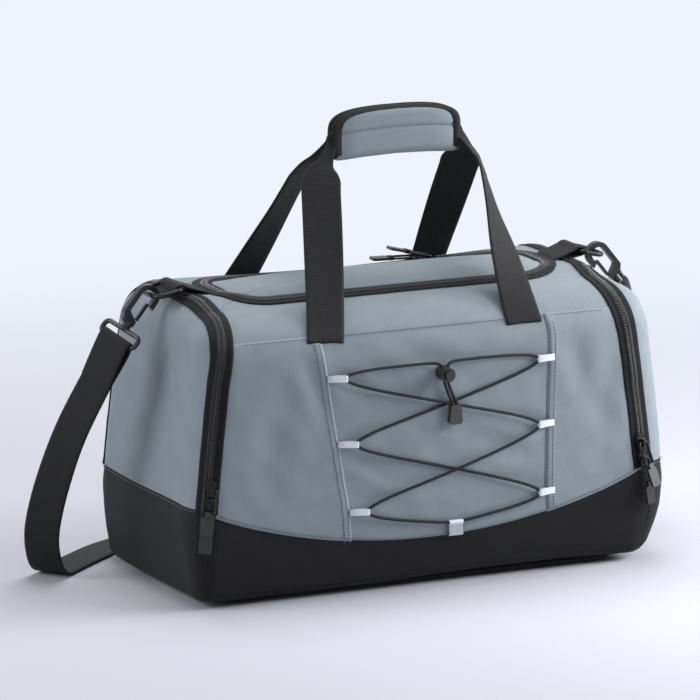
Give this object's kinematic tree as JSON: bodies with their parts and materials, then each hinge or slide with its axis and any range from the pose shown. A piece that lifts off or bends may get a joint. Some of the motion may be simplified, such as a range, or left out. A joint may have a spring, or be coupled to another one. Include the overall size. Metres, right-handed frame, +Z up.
{
  "type": "duffel bag",
  "caption": "Soft duffel bag with black base, zipped lid and end pockets, elastic cord on a front pocket, joined carry handles and a hooked-on shoulder strap.",
  "frame": {"origin": "centre of the flat underside of the base", "axes": "+X along the bag's length, +Z up, -Y towards the front pocket"},
  "size_m": [0.6323, 0.3333, 0.443],
  "materials": {
    "grey_cloth": "twill weave, matt",
    "black_cloth": "coarse weave, matt",
    "board": "matt",
    "lining": "plain weave",
    "zip_tape": "woven tape with a moulded coil",
    "webbing": "ribbed webbing",
    "black_metal": "satin black enamel",
    "black_plastic": "semi-gloss",
    "lock_plastic": "satin",
    "reflective": "retroreflective ribbon",
    "elastic": "braided cover",
    "steel": "bright"
  },
  "bodies": {
    "root": {"base_bottom": "black_cloth", "base_skirt": "black_cloth", "base_board": "board", "front_panel": "grey_cloth", "pocket_panel": "grey_cloth", "back_panel": "grey_cloth", "pocket_lining": "lining", "top_band": "grey_cloth", "lid_zip_outer": "zip_tape", "lid_zip_back_run": "zip_tape", "end_flap_left": "grey_cloth", "flap_zip_left": "zip_tape", "arch_zip_left": "zip_tape", "end_wall_left": "lining", "end_flap_right": "grey_cloth", "flap_zip_right": "zip_tape", "arch_zip_right": "zip_tape", "end_wall_right": "lining", "handle_front": "webbing", "handle_back": "webbing", "grip_wrap_front": "grey_cloth", "strap_loop_left": "black_plastic", "ring_tab_left": "webbing", "strap_loop_right": "black_plastic", "ring_tab_right": "webbing", "shoulder_strap": "webbing", "cord_loops": "reflective", "cord_lock": "lock_plastic", "cord_end": "lock_plastic", "elastic_cord": "elastic"},
    "slider_left_lower": {"slider_left_lower": "black_metal"},
    "pull_left_lower": {"pull_ring_left_lower": "black_metal", "pull_tab_left_lower": "black_plastic"},
    "slider_left_upper": {"slider_left_upper": "black_metal"},
    "pull_left_upper": {"pull_ring_left_upper": "black_metal", "pull_tab_left_upper": "black_plastic"},
    "slider_right_lower": {"slider_right_lower": "black_metal"},
    "pull_right_lower": {"pull_ring_right_lower": "black_metal", "pull_tab_right_lower": "black_plastic"},
    "slider_right_upper": {"slider_right_upper": "black_metal"},
    "pull_right_upper": {"pull_ring_right_upper": "black_metal", "pull_tab_right_upper": "black_plastic"},
    "slider_lid_first": {"slider_lid_first": "black_metal"},
    "pull_lid_first": {"pull_ring_lid_first": "black_metal", "pull_tab_lid_first": "black_plastic"},
    "slider_lid_second": {"slider_lid_second": "black_metal"},
    "pull_lid_second": {"pull_ring_lid_second": "black_metal", "pull_tab_lid_second": "black_plastic"},
    "lid": {"lid_panel": "grey_cloth", "lid_zip_inner": "zip_tape"},
    "d_ring_left": {"d_ring_left": "black_metal"},
    "hook_left": {"hook_left": "black_plastic"},
    "gate_left": {"gate_left": "steel"},
    "d_ring_right": {"d_ring_right": "black_metal"},
    "hook_right": {"hook_right": "black_plastic"},
    "gate_right": {"gate_right": "steel"},
    "lock_button": {"cord_lock_plunger": "lock_plastic"},
    "grip_flap": {"grip_wrap_back": "grey_cloth"}
  },
  "joints": [
    {"name": "lid_hinge", "type": "hinge", "parent": "root", "child": "lid", "pos_m": [0, 0.0368, 0.2778], "axis": [-1, 0, 0], "range_deg": [0, 65]},
    {"name": "slide_left_lower", "type": "slide", "parent": "root", "child": "slider_left_lower", "axis": [0.127, 0.0349, 0.9913], "range_m": [0, 0.04]},
    {"name": "pull_left_lower", "type": "hinge", "parent": "slider_left_lower", "child": "pull_left_lower", "pos_m": [-0.22931, -0.12287, 0.10243], "axis": [-0.8914, 0.4423, 0.0987], "range_deg": [0, 10]},
    {"name": "slide_left_upper", "type": "slide", "parent": "slider_left_lower", "child": "slider_left_upper", "axis": [0.127, 0.0349, 0.9913], "range_m": [0, 0.055]},
    {"name": "pull_left_upper", "type": "hinge", "parent": "slider_left_upper", "child": "pull_left_upper", "pos_m": [-0.22715, -0.12227, 0.11928], "axis": [-0.8914, 0.4423, 0.0987], "range_deg": [0, 75]},
    {"name": "slide_right_lower", "type": "slide", "parent": "root", "child": "slider_right_lower", "axis": [-0.127, 0.0349, 0.9913], "range_m": [0, 0.04]},
    {"name": "pull_right_lower", "type": "hinge", "parent": "slider_right_lower", "child": "pull_right_lower", "pos_m": [0.22931, -0.12287, 0.10243], "axis": [-0.8914, -0.4423, -0.0987], "range_deg": [0, 10]},
    {"name": "slide_right_upper", "type": "slide", "parent": "slider_right_lower", "child": "slider_right_upper", "axis": [-0.127, 0.0349, 0.9913], "range_m": [0, 0.055]},
    {"name": "pull_right_upper", "type": "hinge", "parent": "slider_right_upper", "child": "pull_right_upper", "pos_m": [0.22715, -0.12227, 0.11928], "axis": [-0.8914, -0.4423, -0.0987], "range_deg": [0, 75]},
    {"name": "slide_lid_first", "type": "slide", "parent": "root", "child": "slider_lid_first", "axis": [1, 0, 0], "range_m": [0, 0.01]},
    {"name": "pull_lid_first", "type": "hinge", "parent": "slider_lid_first", "child": "pull_lid_first", "pos_m": [0.064, 0.05, 0.2839], "axis": [0, 1, 0], "range_deg": [0, 10]},
    {"name": "slide_lid_second", "type": "slide", "parent": "slider_lid_first", "child": "slider_lid_second", "axis": [1, 0, 0], "range_m": [0, 0.02]},
    {"name": "pull_lid_second", "type": "hinge", "parent": "slider_lid_second", "child": "pull_lid_second", "pos_m": [0.081, 0.05, 0.2839], "axis": [0, 1, 0], "range_deg": [0, 75]},
    {"name": "d_ring_left", "type": "hinge", "parent": "root", "child": "d_ring_left", "pos_m": [-0.212, 0, 0.289], "axis": [0, 1, 0], "range_deg": [-1.5, 1.5]},
    {"name": "hook_swivel_left", "type": "hinge", "parent": "root", "child": "hook_left", "pos_m": [-0.259, 0, 0.256], "axis": [0.63, 0, 0.7766], "range_deg": [-16, 16]},
    {"name": "gate_left", "type": "hinge", "parent": "hook_left", "child": "gate_left", "pos_m": [-0.24945, 0, 0.25984], "axis": [0, -1, 0], "range_deg": [0, 25], "stiffness_Nm_per_rad": 0.02, "springref_deg": -5.73},
    {"name": "d_ring_right", "type": "hinge", "parent": "root", "child": "d_ring_right", "pos_m": [0.212, 0, 0.289], "axis": [0, -1, 0], "range_deg": [-1.5, 1.5]},
    {"name": "hook_swivel_right", "type": "hinge", "parent": "root", "child": "hook_right", "pos_m": [0.259, 0, 0.256], "axis": [-0.63, 0, 0.7766], "range_deg": [-16, 16]},
    {"name": "gate_right", "type": "hinge", "parent": "hook_right", "child": "gate_right", "pos_m": [0.24945, 0, 0.25984], "axis": [0, 1, 0], "range_deg": [0, 25], "stiffness_Nm_per_rad": 0.02, "springref_deg": -5.73},
    {"name": "lock_press", "type": "slide", "parent": "root", "child": "lock_button", "axis": [0, 1, 0], "range_m": [0, 0.002], "stiffness_N_per_m": 300, "springref_m": -0.001},
    {"name": "grip_open", "type": "hinge", "parent": "root", "child": "grip_flap", "pos_m": [0.02, 0.0029, 0.397], "axis": [-1, 0, 0], "range_deg": [0, 110]}
  ]
}
